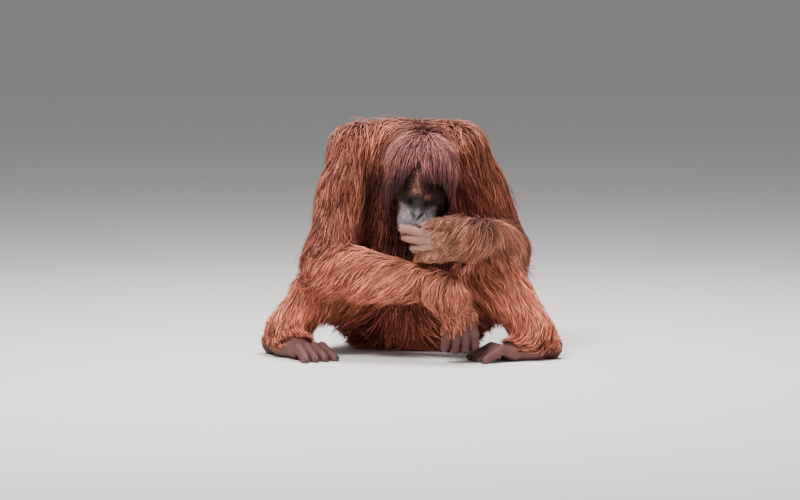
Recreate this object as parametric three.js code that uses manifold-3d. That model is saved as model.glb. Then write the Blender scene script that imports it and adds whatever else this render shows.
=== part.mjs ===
// A sitting orangutan, an adult female at life size, hunched forward with its mouth on its left hand
// and its right hand hanging to the floor. It is a still model, parted where a person would name its parts.
// Millimetres. +Z is up, the animal faces -Y, +X is its left side, and it sits on the floor at Z = 0.
import * as THREE from 'three';
import { mergeVertices } from 'three/addons/utils/BufferGeometryUtils.js';
import Module from 'manifold-3d';

const wasm = await Module();
wasm.setup();

const V = (x, y, z) => new THREE.Vector3(x, y, z);
const mix = THREE.MathUtils.lerp;
const SIDES = ['right', 'left'];
const SIGN = { right: -1, left: 1 };

// Driving dimensions: the joints' centres in the sitting pose
const SEAT = V(0, 105, 92);
const NECK_ROOT = V(0, 28, 492);
const HEAD_CENTRE = V(22, -150, 443);
const SHOULDER = { right: V(-141, 18, 504), left: V(124, 8, 501) };
const ELBOW = { right: V(-215, -130, 230), left: V(241, 42, 246) };
const WRIST = { right: V(82, -235, 190), left: V(165, -235, 318) };
const HIP = { right: V(-78, 140, 94), left: V(78, 80, 96) };
const KNEE = { right: V(-192, -52, 200), left: V(205, -134, 200) };
const ANKLE = { right: V(-322, -62, 60), left: V(312, -152, 60) };
const KNUCKLES = { right: V(116, -257, 116), left: V(68, -247, 288) };
const BALL_OF_FOOT = { right: V(-268, -152, 19), left: V(240, -188, 19) };

const HEAD_PITCH = 38 * THREE.MathUtils.DEG2RAD; // the face looks down
const HEAD_ROLL = 7 * THREE.MathUtils.DEG2RAD; // the crown leans to its left
const GAP = 0.3; // between nodes that touch
const FLOOR_CLEAR = 5; // locks stay this high above the floor
const SEED = 20261; // of the random numbers that vary the locks

// How far the coat's matted core stands off the skin, and how far its tips do, by part of the body
const COAT = {
  torso: { core: 12, tips: 28 },
  neck: { core: 10, tips: 24 },
  head: { core: 9, tips: 24 },
  upper_arm: { core: 9, tips: 23 },
  forearm: { core: 7, tips: 19 },
  thigh: { core: 9, tips: 22 },
  shin: { core: 7, tips: 18 },
  hand: { core: 1.5, tips: 1.5 },
  foot: { core: 2, tips: 2 },
};

// Signed distances: a ball is an ellipsoid, a bone a rounded cone that may be wider along one side
const ball = (centre, radii, turn = new THREE.Quaternion()) => {
  const back = turn.clone().invert();
  const least = Math.min(...radii);
  return (p) => {
    const q = p.clone().sub(centre).applyQuaternion(back);
    const k0 = Math.hypot(q.x / radii[0], q.y / radii[1], q.z / radii[2]);
    const k1 = Math.hypot(q.x / radii[0] ** 2, q.y / radii[1] ** 2, q.z / radii[2] ** 2);
    return k1 < 1e-9 ? -least : (k0 * (k0 - 1)) / k1;
  };
};

const bone = (a, b, ra, rb, side = null, wide = 1) => {
  const along = b.clone().sub(a);
  const square = along.lengthSq();
  return (p) => {
    const q = p.clone().sub(a);
    const t = THREE.MathUtils.clamp(q.dot(along) / square, 0, 1);
    q.addScaledVector(along, -t);
    if (side) q.addScaledVector(side, -q.dot(side) * (1 - 1 / wide));
    return q.length() - mix(ra, rb, t);
  };
};

// Joins shapes with a fillet of about `soft` millimetres
const blend = (shapes, soft) => (p) =>
  shapes.map((shape) => shape(p)).reduce((a, b) => {
    const h = Math.max(soft - Math.abs(a - b), 0) / soft;
    return Math.min(a, b) - (h * h * soft) / 4;
  });

const gradient = (shape, p) => {
  const e = 0.5;
  const at = (x, y, z) => shape(V(p.x + x, p.y + y, p.z + z));
  return V(at(e, 0, 0) - at(-e, 0, 0), at(0, e, 0) - at(0, -e, 0), at(0, 0, e) - at(0, 0, -e)).normalize();
};

// The head's own frame: x to its left, f forward out of the face, u up through the crown
const turned = new THREE.Quaternion()
  .setFromAxisAngle(V(1, 0, 0), HEAD_PITCH)
  .premultiply(new THREE.Quaternion().setFromAxisAngle(V(0, 1, 0), HEAD_ROLL));
const onHead = (x, f, u) => V(x, -f, u).applyQuaternion(turned).add(HEAD_CENTRE);
const headBall = (x, f, u, radii) => ball(onHead(x, f, u), radii, turned);
const headBone = (from, to, ra, rb) => bone(onHead(...from), onHead(...to), ra, rb);
const intoHead = (p) => {
  const q = p.clone().sub(HEAD_CENTRE).applyQuaternion(turned.clone().invert());
  return { x: q.x, f: -q.y, u: q.z };
};

const CRANIUM = [66, 76, 70];
const EYE = { x: 30, f: 60, u: -4, r: 11, lid: 2.6, slit: 1.7 };
const MOUTH = { half: 38, u: -75, droop: 7, r: 2.4 };
const NOSTRIL = { x: 8, u: -27, radii: [4.2, 6, 3] };
const EAR = { x: 76, f: 0, u: -4, radii: [7, 15, 19] };

const headShape = blend(
  [
    headBall(0, -2, 6, CRANIUM),
    headBone([-34, 56, 12], [34, 56, 12], 17, 17), // brow
    headBall(-46, 40, -20, [22, 26, 26]), // cheekbones
    headBall(46, 40, -20, [22, 26, 26]),
    headBall(0, 58, -36, [44, 34, 42]), // muzzle
    headBall(0, 84, -56, [49, 34, 32]),
    headBone([-24, 99, -60], [24, 99, -60], 19, 19), // upper lip
    headBone([-20, 97, -90], [20, 97, -90], 13, 13), // lower lip
    headBall(0, 72, -92, [40, 38, 22]), // chin
    headBall(-46, 18, -58, [22, 38, 36]), // jaws
    headBall(46, 18, -58, [22, 38, 36]),
    headBall(0, 34, -88, [42, 46, 30]), // throat
    headBone([0, 66, -4], [0, 84, -22], 10, 9), // nose
    headBall(-10, 88, -28, [9, 9, 8]),
    headBall(10, 88, -28, [9, 9, 8]),
  ],
  16,
);

const NAPE = onHead(0, -40, 12);
const neckShape = bone(NECK_ROOT, NAPE, 66, 62);

const torsoShape = blend(
  [
    ball(SEAT, [130, 112, 100]),
    ball(V(0, 66, 215), [130, 116, 132]),
    ball(V(0, 66, 350), [138, 110, 142]),
    ball(V(0, 44, 470), [128, 92, 84]),
    bone(V(-72, 30, 518), V(72, 30, 518), 44, 44),
  ],
  30,
);

const between = (a, b, t) => a.clone().lerp(b, t);

function limbShapes(side) {
  const out = SIGN[side];
  const shoulder = SHOULDER[side];
  const elbow = ELBOW[side];
  const bulge = between(elbow, WRIST[side], 0.3);
  const calf = between(KNEE[side], ANKLE[side], 0.38);
  return {
    upper_arm: blend(
      [
        ball(shoulder, [54, 54, 56]),
        bone(shoulder, elbow, 47, 39),
        ball(between(shoulder, elbow, 0.42).add(V(out * 3, 0, 0)), [44, 48, 66]),
      ],
      20,
    ),
    forearm: blend([bone(elbow, bulge, 44, 41), bone(bulge, WRIST[side], 41, 27)], 14),
    thigh: bone(HIP[side], KNEE[side], 84, 48),
    shin: blend([bone(KNEE[side], calf, 45, 45), bone(calf, ANKLE[side], 45, 31)], 14),
  };
}

const LIMBS = { right: limbShapes('right'), left: limbShapes('left') };

// Hands and feet: each digit is a chain of joints, from its knuckle to its tip
const DIGIT_RADII = [12, 11, 10, 8.5];

function digitShape(joints, radii) {
  const bones = joints.slice(1).map((to, i) => bone(joints[i], to, radii[i], radii[i + 1]));
  return blend(bones, 4);
}

// Across runs from the little finger to the index. The open chain is each joint's step from the one before,
// the curled chain is the same for a finger that is bent under, and curl mixes them, little finger first
const HAND = {
  right: {
    across: V(1, 0.05, -0.1).normalize(),
    spread: 17.5,
    open: [V(3, -6, -48), V(-2, 14, -33), V(-2, 20, -6)],
    curled: [V(3, -6, -48), V(-2, 14, -33), V(-2, 20, -6)],
    curl: [0, 0, 0, 0],
    fan: V(0.1, 0, 0.04),
    thumb: [V(112, -224, 154), V(126, -206, 130), V(128, -194, 112)],
  },
  left: {
    across: V(-0.1, 0.1, 0.98).normalize(),
    spread: 14.5,
    open: [V(-46, -4, 6), V(-36, 10, 7), V(-22, 10, 3)],
    curled: [V(-38, 2, 0), V(-20, 24, -2), V(2, 23, -2)],
    curl: [1, 0.75, 0.35, 0],
    fan: V(0, 0, 0.06),
    thumb: [V(98, -238, 340), V(60, -248, 343), V(26, -244, 335)],
  },
};
const FINGERS = [-1.5, -0.5, 0.5, 1.5]; // each finger's place across the hand, or toe's across the foot
const SHORTER = 0.05; // how much shorter than the middle fingers the outer ones are

function handShapes(side) {
  const hand = HAND[side];
  const wrist = WRIST[side];
  const knuckles = KNUCKLES[side];
  const digits = FINGERS.map((off, i) => {
    const joints = [knuckles.clone().addScaledVector(hand.across, off * hand.spread)];
    hand.open.forEach((open, k) => {
      const step = between(open, hand.curled[k], hand.curl[i]).multiplyScalar(1 - SHORTER * off * off);
      step.addScaledVector(hand.fan, off * step.length() * (1 - 0.3 * k));
      joints.push(joints[k].clone().add(step));
    });
    return { joints, radii: DIGIT_RADII };
  });
  digits.push({ joints: hand.thumb, radii: [14, 11, 9] });
  const palm = blend(
    [
      bone(wrist, between(wrist, knuckles, 0.45), 24, 24, hand.across, 1.3),
      bone(between(wrist, knuckles, 0.45), knuckles, 23, 14, hand.across, 2.3),
      bone(between(wrist, knuckles, 0.3), hand.thumb[0], 22, 14),
    ],
    14,
  );
  return { palm, digits, spine: [between(wrist, knuckles, 0.05), between(wrist, knuckles, 0.95)] };
}

const TOE_GAP = 17;
const TOE_STEPS = [[36, 31], [30, 17], [20, 7]]; // how far ahead each toe joint is, and its height
const TOE_RADII = [14, 11.5, 10.5, 9];
const BIG_TOE = { heights: [26, 20, 9], radii: [15, 12, 10] };
const FOOT = {
  right: { toes: V(0.5, -0.866, 0), inner: V(0.866, 0.5, 0), heel: V(-340, -34, 26) },
  left: { toes: V(-0.92, -0.39, 0), inner: V(-0.39, 0.92, 0), heel: V(338, -140, 26) },
};

function footShapes(side) {
  const foot = FOOT[side];
  const front = BALL_OF_FOOT[side];
  const ankle = ANKLE[side];
  const digits = FINGERS.map((off) => {
    const ahead = foot.toes.clone().addScaledVector(foot.inner, off * 0.12);
    const joints = [front.clone().addScaledVector(foot.inner, off * TOE_GAP)];
    TOE_STEPS.forEach(([far, z], k) => {
      joints.push(joints[k].clone().addScaledVector(ahead, far).setZ(z));
    });
    return { joints, radii: TOE_RADII };
  });
  const instep = between(foot.heel, front, 0.42).addScaledVector(foot.inner, 26);
  const bigToe = [instep, instep.clone().addScaledVector(foot.inner, 24).addScaledVector(foot.toes, 22)];
  bigToe.push(bigToe[1].clone().addScaledVector(foot.toes, 24));
  bigToe.forEach((p, i) => p.setZ(BIG_TOE.heights[i]));
  digits.push({ joints: bigToe, radii: BIG_TOE.radii });
  const sole = blend(
    [
      bone(foot.heel, ankle, 27, 27),
      bone(foot.heel, between(foot.heel, front, 0.5), 27, 25, foot.inner, 1.25),
      bone(ankle, front, 27, 19),
      bone(between(foot.heel, front, 0.5), front, 24, 17, foot.inner, 1.9),
    ],
    14,
  );
  return { palm: sole, digits, spine: [between(foot.heel, front, 0.08), between(foot.heel, front, 0.92)] };
}

// Wrapping: a sphere's mesh is laid round a spine, and each vertex moves out to where the shape's distance
// is `level`
function rayFrom(spine, side, unit) {
  const s = (1 + unit.y) / 2;
  const along = spine.getTangent(s);
  const a = side.clone().addScaledVector(along, -side.dot(along)).normalize();
  const b = a.clone().cross(along);
  const direction = a.multiplyScalar(unit.x).addScaledVector(along, unit.y).addScaledVector(b, unit.z);
  return { base: spine.getPoint(s), direction: direction.normalize() };
}

function reach(shape, base, direction, level) {
  const at = (t) => base.clone().addScaledVector(direction, t);
  let far = 4;
  while (shape(at(far)) < level && far < 400) far *= 1.25;
  let near = 0;
  for (let i = 0; i < 22; i += 1) {
    const middle = (near + far) / 2;
    if (shape(at(middle)) < level) near = middle;
    else far = middle;
  }
  return at(far);
}

function wrap({ shape, spine, side, sides, rings }, level) {
  const sphere = new THREE.SphereGeometry(1, sides, rings);
  sphere.deleteAttribute('normal');
  sphere.deleteAttribute('uv');
  const geometry = mergeVertices(sphere);
  const place = geometry.getAttribute('position');
  for (let i = 0; i < place.count; i += 1) {
    const { base, direction } = rayFrom(spine, side, new THREE.Vector3().fromBufferAttribute(place, i));
    const p = reach(shape, base, direction, level);
    place.setXYZ(i, p.x, p.y, p.z);
  }
  return geometry;
}

const line = (...points) =>
  points.length === 2 ? new THREE.LineCurve3(...points) : new THREE.CatmullRomCurve3(points);

// Solids
const solidOf = (geometry) =>
  new wasm.Manifold(new wasm.Mesh({
    numProp: 3,
    vertProperties: Float32Array.from(geometry.getAttribute('position').array),
    triVerts: Uint32Array.from(geometry.index.array),
  }));

const primitive = (geometry, at = V(0, 0, 0), turn = new THREE.Quaternion()) => {
  geometry.deleteAttribute('normal');
  geometry.deleteAttribute('uv');
  geometry.applyQuaternion(turn).translate(at.x, at.y, at.z);
  return solidOf(mergeVertices(geometry));
};

const geometryOf = (solid) => {
  const mesh = solid.getMesh();
  const geometry = new THREE.BufferGeometry();
  geometry.setAttribute('position', new THREE.BufferAttribute(Float32Array.from(mesh.vertProperties), 3));
  geometry.setIndex(new THREE.BufferAttribute(Uint32Array.from(mesh.triVerts), 1));
  geometry.computeVertexNormals();
  return geometry;
};

const largest = (solid) =>
  solid.decompose().reduce((a, b) => (b.volume() > a.volume() ? b : a));

// Joins vertices that all but touch, as the finished mesh will have them, and keeps the outer surface
const MERGE = 1e-3;
const merged = (solid) => mergeVertices(geometryOf(solid).deleteAttribute('normal'), MERGE);
const settle = (solid) => largest(solidOf(merged(largest(solid))));

// Whether every edge lies between just two faces once near vertices are one
const sound = (solid) => {
  const corners = merged(solid).index.array;
  const seen = new Set();
  for (let i = 0; i < corners.length; i += 1) {
    const next = i % 3 === 2 ? i - 2 : i + 1;
    if (corners[i] === corners[next]) continue;
    const edge = `${corners[i]} ${corners[next]}`;
    if (seen.has(edge)) return false;
    seen.add(edge);
  }
  return true;
};

const FLOOR_BLOCK = [1600, 1600, 100];
const FLOOR = primitive(new THREE.BoxGeometry(...FLOOR_BLOCK), V(0, 0, -FLOOR_BLOCK[2] / 2));

// Seeded random numbers from 0 to 1
let seed = SEED;
const random = () => {
  seed = (seed * 1664525 + 1013904223) % 4294967296;
  return seed / 4294967296;
};
const around = (spread) => (random() * 2 - 1) * spread;

// The nodes, each with its shape, the spine its mesh is wrapped round and the coat it carries
const limbSpine = (a, b, inset = 0.12) => line(between(a, b, inset), between(a, b, 1 - inset));
const faceMask = (p) => {
  const { x, f, u } = intoHead(p);
  const front = THREE.MathUtils.smoothstep(f, 34, 54);
  const wide = 1 - THREE.MathUtils.smoothstep(Math.abs(x), 50, 62);
  const low = 1 - THREE.MathUtils.smoothstep(u, 16, 34);
  return front * wide * low;
};

const headCoat = (p) => headShape(p) + COAT.head.core * faceMask(p);

const nodes = [];
const addNode = (node) => {
  nodes.push(node);
  return node;
};

addNode({
  name: 'head', kind: 'head', slot: 'hair', shape: headCoat, side: V(1, 0, 0), sides: 20, rings: 18,
  spine: line(onHead(0, 52, -34), onHead(0, -24, 6)),
});
for (const side of SIDES) {
  const limb = LIMBS[side];
  addNode({
    name: `upper_arm_${side}`, kind: 'upper_arm', slot: 'hair', shape: limb.upper_arm, side: V(0, -1, 0),
    sides: 12, rings: 10, spine: limbSpine(SHOULDER[side], ELBOW[side], 0.06),
  });
  addNode({
    name: `forearm_${side}`, kind: 'forearm', slot: 'hair', shape: limb.forearm, side: V(0, 0, 1),
    sides: 12, rings: 10, spine: limbSpine(ELBOW[side], WRIST[side], 0.06),
  });
}
addNode({
  name: 'torso', kind: 'torso', slot: 'hair', shape: torsoShape, side: V(1, 0, 0), sides: 20, rings: 16,
  spine: line(V(0, 105, 70), V(0, 92, 200), V(0, 66, 360), V(0, 44, 490)),
});
addNode({
  name: 'neck', kind: 'neck', slot: 'hair', shape: neckShape, side: V(1, 0, 0), sides: 16, rings: 8,
  spine: limbSpine(NECK_ROOT, NAPE),
});
for (const side of SIDES) {
  const limb = LIMBS[side];
  addNode({
    name: `thigh_${side}`, kind: 'thigh', slot: 'hair', shape: limb.thigh, side: V(0, 0, 1),
    sides: 12, rings: 9, spine: limbSpine(HIP[side], KNEE[side], 0.06),
  });
  addNode({
    name: `shin_${side}`, kind: 'shin', slot: 'hair', shape: limb.shin, side: V(0, -1, 0),
    sides: 12, rings: 9, spine: limbSpine(KNEE[side], ANKLE[side], 0.06),
  });
}

// Where the coat lies: the flow is the way that hair grows at a point, before it is laid on the surface
const towards = (from, to) => to.clone().sub(from).normalize();
const SPINE_Y = 40;
const WHORL = V(45, -62, 566); // on the nape, where the hair parts and falls over the head
const DOWN = V(0, 0, -1);

function flowOf(node, p) {
  const side = node.name.endsWith('_right') ? 'right' : 'left';
  if (node.kind === 'head') return towards(WHORL, p).addScaledVector(DOWN, 0.5);
  if (node.kind === 'neck') return towards(WHORL, p).addScaledVector(DOWN, 0.2).add(V(0, -0.5, 0));
  if (node.kind === 'upper_arm') return towards(SHOULDER[side], ELBOW[side]).addScaledVector(DOWN, 0.4);
  if (node.kind === 'forearm') return towards(WRIST[side], ELBOW[side]).addScaledVector(DOWN, 0.45);
  if (node.kind === 'thigh') return towards(HIP[side], KNEE[side]).addScaledVector(DOWN, 0.5);
  if (node.kind === 'shin') return towards(KNEE[side], ANKLE[side]).addScaledVector(DOWN, 0.3);
  return V(p.x * 0.006, (p.y - SPINE_Y) * 0.01, -1); // from the nape and the shoulders down
}

const LOCKS = {
  head: { tiers: [-0.85, -0.5, -0.15, 0.2, 0.55], around: 11, length: 92, width: 19 },
  neck: { tiers: [-0.1, 0.5], around: 9, length: 90, width: 21 },
  upper_arm: { tiers: [-0.94, -0.58, -0.18, 0.25], around: 7, length: 140, width: 26 },
  forearm: { tiers: [0.72, 0.28, -0.16, -0.6], around: 6, length: 115, width: 23 },
  torso: { tiers: [0.95, 0.7, 0.38, 0.04, -0.3, -0.66], around: 11, length: 145, width: 31 },
  thigh: { tiers: [-0.5, -0.02, 0.45], around: 7, length: 96, width: 22 },
  shin: { tiers: [-0.55, -0.1, 0.35], around: 6, length: 92, width: 20 },
};
const THICK = 6; // a lock's height at its ridge, where it is thickest
const SINK = 7; // how deep a lock's root is set into its core
const RINGS = [0, 0.34, 0.68, 1]; // where a lock has its sections, from root to tip
const PROFILE = [0.72, 1, 0.66, 0];

const coreOf = (node) => COAT[node.kind].core;
const coatDistance = (p) => Math.min(...nodes.map((node) => node.shape(p) - coreOf(node)));

function combLock(node, root, length) {
  const rise = COAT[node.kind].tips - coreOf(node);
  const normal = gradient(node.shape, root);
  const sections = [{ p: root.clone().addScaledVector(normal, -SINK), n: normal.clone() }];
  const p = root.clone();
  let n = normal;
  const SUBSTEPS = 2;
  for (let ring = 1; ring < RINGS.length; ring += 1) {
    for (let k = 1; k <= SUBSTEPS; k += 1) {
      const s = mix(RINGS[ring - 1], RINGS[ring], k / SUBSTEPS);
      const way = flowOf(node, p);
      way.addScaledVector(n, -way.dot(n)).normalize().addScaledVector(DOWN, 0.25 * s).normalize();
      p.addScaledVector(way, ((RINGS[ring] - RINGS[ring - 1]) * length) / SUBSTEPS);
      for (let fix = 0; fix < 4; fix += 1) {
        const d = coatDistance(p);
        n = gradient(coatDistance, p);
        const want = mix(3, rise, s);
        p.addScaledVector(n, (want - d) * (d < want ? 1 : 0.6));
      }
      p.z = Math.max(p.z, FLOOR_CLEAR);
    }
    sections.push({ p: p.clone(), n: n.clone() });
  }
  return sections;
}

// The directions at each section of a lock: along it, across it and up through its ridge
function framed(sections) {
  const last = sections.length - 1;
  return sections.map(({ p, n }, i) => {
    const before = sections[Math.max(i - 1, 0)].p;
    const after = sections[Math.min(i + 1, last)].p;
    const along = after.clone().sub(before).normalize();
    const across = along.clone().cross(n).normalize();
    return { p, along, across, up: across.clone().cross(along) };
  });
}

// A lock has three sides: two thin edges and a ridge above. Its grown copy has blunt edges as well, so that
// the copy clears the lock even where the lock twists
function lockGeometry(sections, halfWidth, grow) {
  const points = [];
  const faces = [];
  const last = sections.length - 1;
  const blunt = grow * 1.6;
  const corners = (w, t) =>
    (grow ? [[w, -blunt], [w, blunt], [0, t], [-w, blunt], [-w, -blunt]] : [[w, 0], [0, t], [-w, 0]]);
  const count = corners(1, 1).length;
  framed(sections).forEach(({ p, along, across, up }, i) => {
    if (i === last) {
      points.push(p.clone().addScaledVector(along, grow * 4));
      return;
    }
    const w = halfWidth * PROFILE[i] + grow;
    const t = THICK * (i === 0 ? 1 : PROFILE[i]) + blunt;
    for (const [a, b] of corners(w, t)) {
      const corner = p.clone().addScaledVector(across, a).addScaledVector(up, b);
      points.push(corner.addScaledVector(along, i ? 0 : -grow));
    }
  });
  for (let i = 0; i < last; i += 1) {
    for (let k = 0; k < count; k += 1) {
      const [a, b] = [i * count + k, i * count + ((k + 1) % count)];
      if (i === last - 1) faces.push(b, a, last * count);
      else faces.push(a, a + count, b, b, a + count, b + count);
    }
  }
  for (let k = 2; k < count; k += 1) faces.push(0, k - 1, k);
  const geometry = new THREE.BufferGeometry();
  geometry.setAttribute('position', new THREE.Float32BufferAttribute(points.flatMap((p) => p.toArray()), 3));
  geometry.setIndex(faces);
  return geometry;
}

const WALL = 7; // a lock isn't rooted this close to another node
const LOWEST_ROOT = 16;
function growsHair(node, p, n) {
  const out = p.clone().addScaledVector(n, 14);
  if (nodes.some((other) => other !== node && other.shape(out) - coreOf(other) < WALL)) return false;
  if (p.z < LOWEST_ROOT || n.z < -0.75) return false;
  return node.kind !== 'head' || faceMask(p) < 0.05;
}

// A lock that folds or twists sharply, where two limbs press together, is left out
const LEAST_STEP = 10;
const MOST_BEND = 0.95;
const MOST_TWIST = 0.9;
const folds = (sections) => {
  const frames = framed(sections);
  return frames.slice(1).some((frame, i) => {
    const step = frame.p.clone().sub(frames[i].p);
    const bend = Math.max(step.angleTo(frame.along), step.angleTo(frames[i].along));
    const twist = frame.across.angleTo(frames[i].across);
    return step.length() < LEAST_STEP || bend > MOST_BEND || twist > MOST_TWIST;
  });
};

function plantLocks(node) {
  const plan = LOCKS[node.kind];
  const locks = [];
  if (!plan) return locks;
  plan.tiers.forEach((h, tier) => {
    const belt = Math.sqrt(1 - h * h) * 0.45 + 0.55;
    const count = Math.max(4, Math.round(plan.around * belt));
    for (let k = 0; k < count; k += 1) {
      const angle = ((k + (tier % 2) * 0.5 + around(0.12)) / count) * 2 * Math.PI;
      const level = THREE.MathUtils.clamp(h + around(0.04), -0.95, 0.95);
      const flat = Math.sqrt(1 - level * level);
      const unit = V(Math.cos(angle) * flat, level, Math.sin(angle) * flat);
      const { base, direction } = rayFrom(node.spine, node.side, unit);
      const root = reach(node.shape, base, direction, coreOf(node));
      if (!growsHair(node, root, gradient(node.shape, root))) continue;
      const length = plan.length * (1 + around(0.16));
      const sections = combLock(node, root, length);
      const halfWidth = plan.width * (1 + around(0.12));
      if (!folds(sections)) locks.push({ sections, halfWidth });
    }
  });
  return locks;
}

const material = (color, roughness) => new THREE.MeshStandardMaterial({ color, roughness, metalness: 0 });
const MATERIALS = {
  hair: material(0x7a3420, 0.75),
  skin: material(0x57463f, 0.6),
  eye: material(0x1c100a, 0.15),
};

// Each node is cut clear of the nodes before it, by a slightly wider gap where its surface would touch itself
const GAPS = [1, 1.13, 1.27, 1.41, 1.6, 1.8].map((k) => GAP * k);
const done = [];
const ape = new THREE.Group();

function finish(name, slot, build) {
  const whole = build(0).subtract(FLOOR);
  let own = whole;
  for (const gap of GAPS) {
    const cut = done.reduce((left, before) => left.subtract(before.grown(gap)), whole);
    own = settle(settle(cut));
    if (sound(own) && done.every((before) => own.intersect(before.own).volume() < 1e-4)) break;
  }
  const kept = new Map();
  const grown = (gap) => {
    if (!kept.has(gap)) kept.set(gap, largest(build(gap)));
    return kept.get(gap);
  };
  done.push({ own, grown });
  const mesh = new THREE.Mesh(geometryOf(own).translate(0, -SEAT.y, 0), MATERIALS[slot]); // origin in the seat
  mesh.name = name;
  ape.add(mesh);
}

function extremity(name, shapes, side, kind) {
  const skin = COAT[kind].core;
  const build = (grow) => wasm.Manifold.union([
    solidOf(wrap({ shape: shapes.palm, spine: line(...shapes.spine), side, sides: 10, rings: 8 }, skin + grow)),
    ...shapes.digits.map(({ joints, radii }) => solidOf(wrap({
      shape: digitShape(joints, radii),
      spine: line(...joints),
      side,
      sides: 6,
      rings: 6,
    }, skin + grow))),
  ]);
  return finish(name, 'skin', build);
}

// The eyes and ears come first, so that the head is cut clear of them
const headTurned = (geometry, x, f, u) => primitive(geometry, onHead(x, f, u), turned);
const smallBall = (radii, sides = 10, rings = 6) =>
  new THREE.SphereGeometry(1, sides, rings).scale(radii[0], radii[1], radii[2]);

for (const side of SIDES) {
  const x = SIGN[side] * EYE.x;
  const eye = (grow) => headTurned(smallBall([EYE.r + grow, EYE.r + grow, EYE.r + grow]), x, EYE.f, EYE.u);
  finish(`eye_${side}`, 'eye', eye);
}
for (const side of SIDES) {
  const out = SIGN[side];
  const ear = (grow) => {
    const [w, d, h] = EAR.radii.map((r) => r + grow);
    const shell = headTurned(smallBall([w, d, h]), out * EAR.x, EAR.f, EAR.u);
    if (grow) return shell;
    const cup = smallBall([w * 0.9, d * 0.72, h * 0.74], 8, 5);
    return shell.subtract(headTurned(cup, out * (EAR.x + w * 0.62), EAR.f + 3, EAR.u));
  };
  finish(`ear_${side}`, 'skin', ear);
}

// The lids are a shell over each eye with a slit in it, and the nostrils and the mouth are cut in
const faceOut = V(0, -1, 0).applyQuaternion(turned);
const faceAt = (x, u, level = 0) => reach(headShape, onHead(x, 30, u), faceOut, level);

function carveFace(head, grow) {
  if (grow) return head;
  let face = head;
  for (const side of SIDES) {
    const x = SIGN[side] * EYE.x;
    const r = EYE.r + EYE.lid;
    face = face.add(headTurned(smallBall([r * 1.12, r, r]), x, EYE.f, EYE.u));
    const slit = smallBall([EYE.r * 0.98, r, EYE.slit], 10, 4);
    face = face.subtract(headTurned(slit, x, EYE.f + EYE.r * 0.75, EYE.u - 3));
    const nostril = faceAt(SIGN[side] * NOSTRIL.x, NOSTRIL.u);
    face = face.subtract(primitive(smallBall(NOSTRIL.radii, 8, 5), nostril, turned));
  }
  const lip = [-1, -0.66, -0.33, 0, 0.33, 0.66, 1].map((k) =>
    faceAt(k * MOUTH.half, MOUTH.u + MOUTH.droop * (k * k - 0.5), 0.4));
  const round = new THREE.Shape().absarc(0, 0, MOUTH.r, 0, 2 * Math.PI);
  const extrudePath = new THREE.CatmullRomCurve3(lip);
  const line = { steps: 12, curveSegments: 3, bevelEnabled: false, extrudePath };
  return face.subtract(primitive(new THREE.ExtrudeGeometry(round, line)));
}

for (const side of SIDES) {
  extremity(`hand_${side}`, handShapes(side), side === 'right' ? V(1, 0, 0) : V(0, 0, 1), 'hand');
}
for (const node of nodes) {
  const core = (grow) => {
    const solid = solidOf(wrap(node, coreOf(node) + grow));
    return node.kind === 'head' ? carveFace(solid, grow) : solid;
  };
  const lockSolid = ({ sections, halfWidth }, grow) => solidOf(lockGeometry(sections, halfWidth, grow));
  const trial = [0, GAP].map((grow) => ({ grow, solid: core(grow) }));
  const locks = plantLocks(node).filter((lock) => {
    const joined = trial.map(({ grow, solid }) => solid.add(lockSolid(lock, grow)));
    if (!joined.every(sound)) return false;
    joined.forEach((solid, i) => { trial[i].solid = solid; });
    return true;
  });
  const build = (grow) => wasm.Manifold.union([core(grow), ...locks.map((lock) => lockSolid(lock, grow))]);
  finish(node.name, node.slot, build);
}
for (const side of SIDES) extremity(`foot_${side}`, footShapes(side), V(0, 0, 1), 'foot');

export default ape;
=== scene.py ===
import bpy
import numpy as np
import openvdb
from mathutils import Matrix, Vector, kdtree


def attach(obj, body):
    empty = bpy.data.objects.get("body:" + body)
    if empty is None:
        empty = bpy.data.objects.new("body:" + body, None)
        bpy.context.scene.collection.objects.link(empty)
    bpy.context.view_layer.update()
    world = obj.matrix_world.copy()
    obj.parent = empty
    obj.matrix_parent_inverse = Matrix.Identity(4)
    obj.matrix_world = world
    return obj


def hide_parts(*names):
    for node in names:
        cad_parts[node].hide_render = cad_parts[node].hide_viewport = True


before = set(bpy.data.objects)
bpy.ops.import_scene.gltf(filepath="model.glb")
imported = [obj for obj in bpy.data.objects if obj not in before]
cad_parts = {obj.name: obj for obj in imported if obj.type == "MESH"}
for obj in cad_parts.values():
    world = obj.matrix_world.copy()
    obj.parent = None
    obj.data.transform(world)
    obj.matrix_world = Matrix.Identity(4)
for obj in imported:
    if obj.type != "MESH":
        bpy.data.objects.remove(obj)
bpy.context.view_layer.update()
rng = np.random.default_rng(20261)


def V(*xyz):
    return np.array(xyz, dtype=float)


# Driving dimensions: the joints' centres in the sitting pose, as in the solids
SEAT = V(0, 105, 92)
NECK_ROOT = V(0, 28, 492)
HEAD_CENTRE = V(22, -150, 443)
SHOULDER = {"right": V(-141, 18, 504), "left": V(124, 8, 501)}
ELBOW = {"right": V(-215, -130, 230), "left": V(241, 42, 246)}
WRIST = {"right": V(82, -235, 190), "left": V(165, -235, 318)}
HIP = {"right": V(-78, 140, 94), "left": V(78, 80, 96)}
KNEE = {"right": V(-192, -52, 200), "left": V(205, -134, 200)}
ANKLE = {"right": V(-322, -62, 60), "left": V(312, -152, 60)}
KNUCKLES = {"right": V(116, -257, 116), "left": V(68, -247, 288)}
BALL_OF_FOOT = {"right": V(-268, -152, 19), "left": V(240, -188, 19)}
SIGN = {"right": -1, "left": 1}
SIDES = ("right", "left")
HEAD_PITCH = np.radians(38)
HEAD_ROLL = np.radians(7)
UP = V(0, 0, 1)


def to_frame(points):
    """Millimetres before the shift to the frame's metres."""
    return (np.asarray(points) - V(0, SEAT[1], 0)) * 0.001


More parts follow.
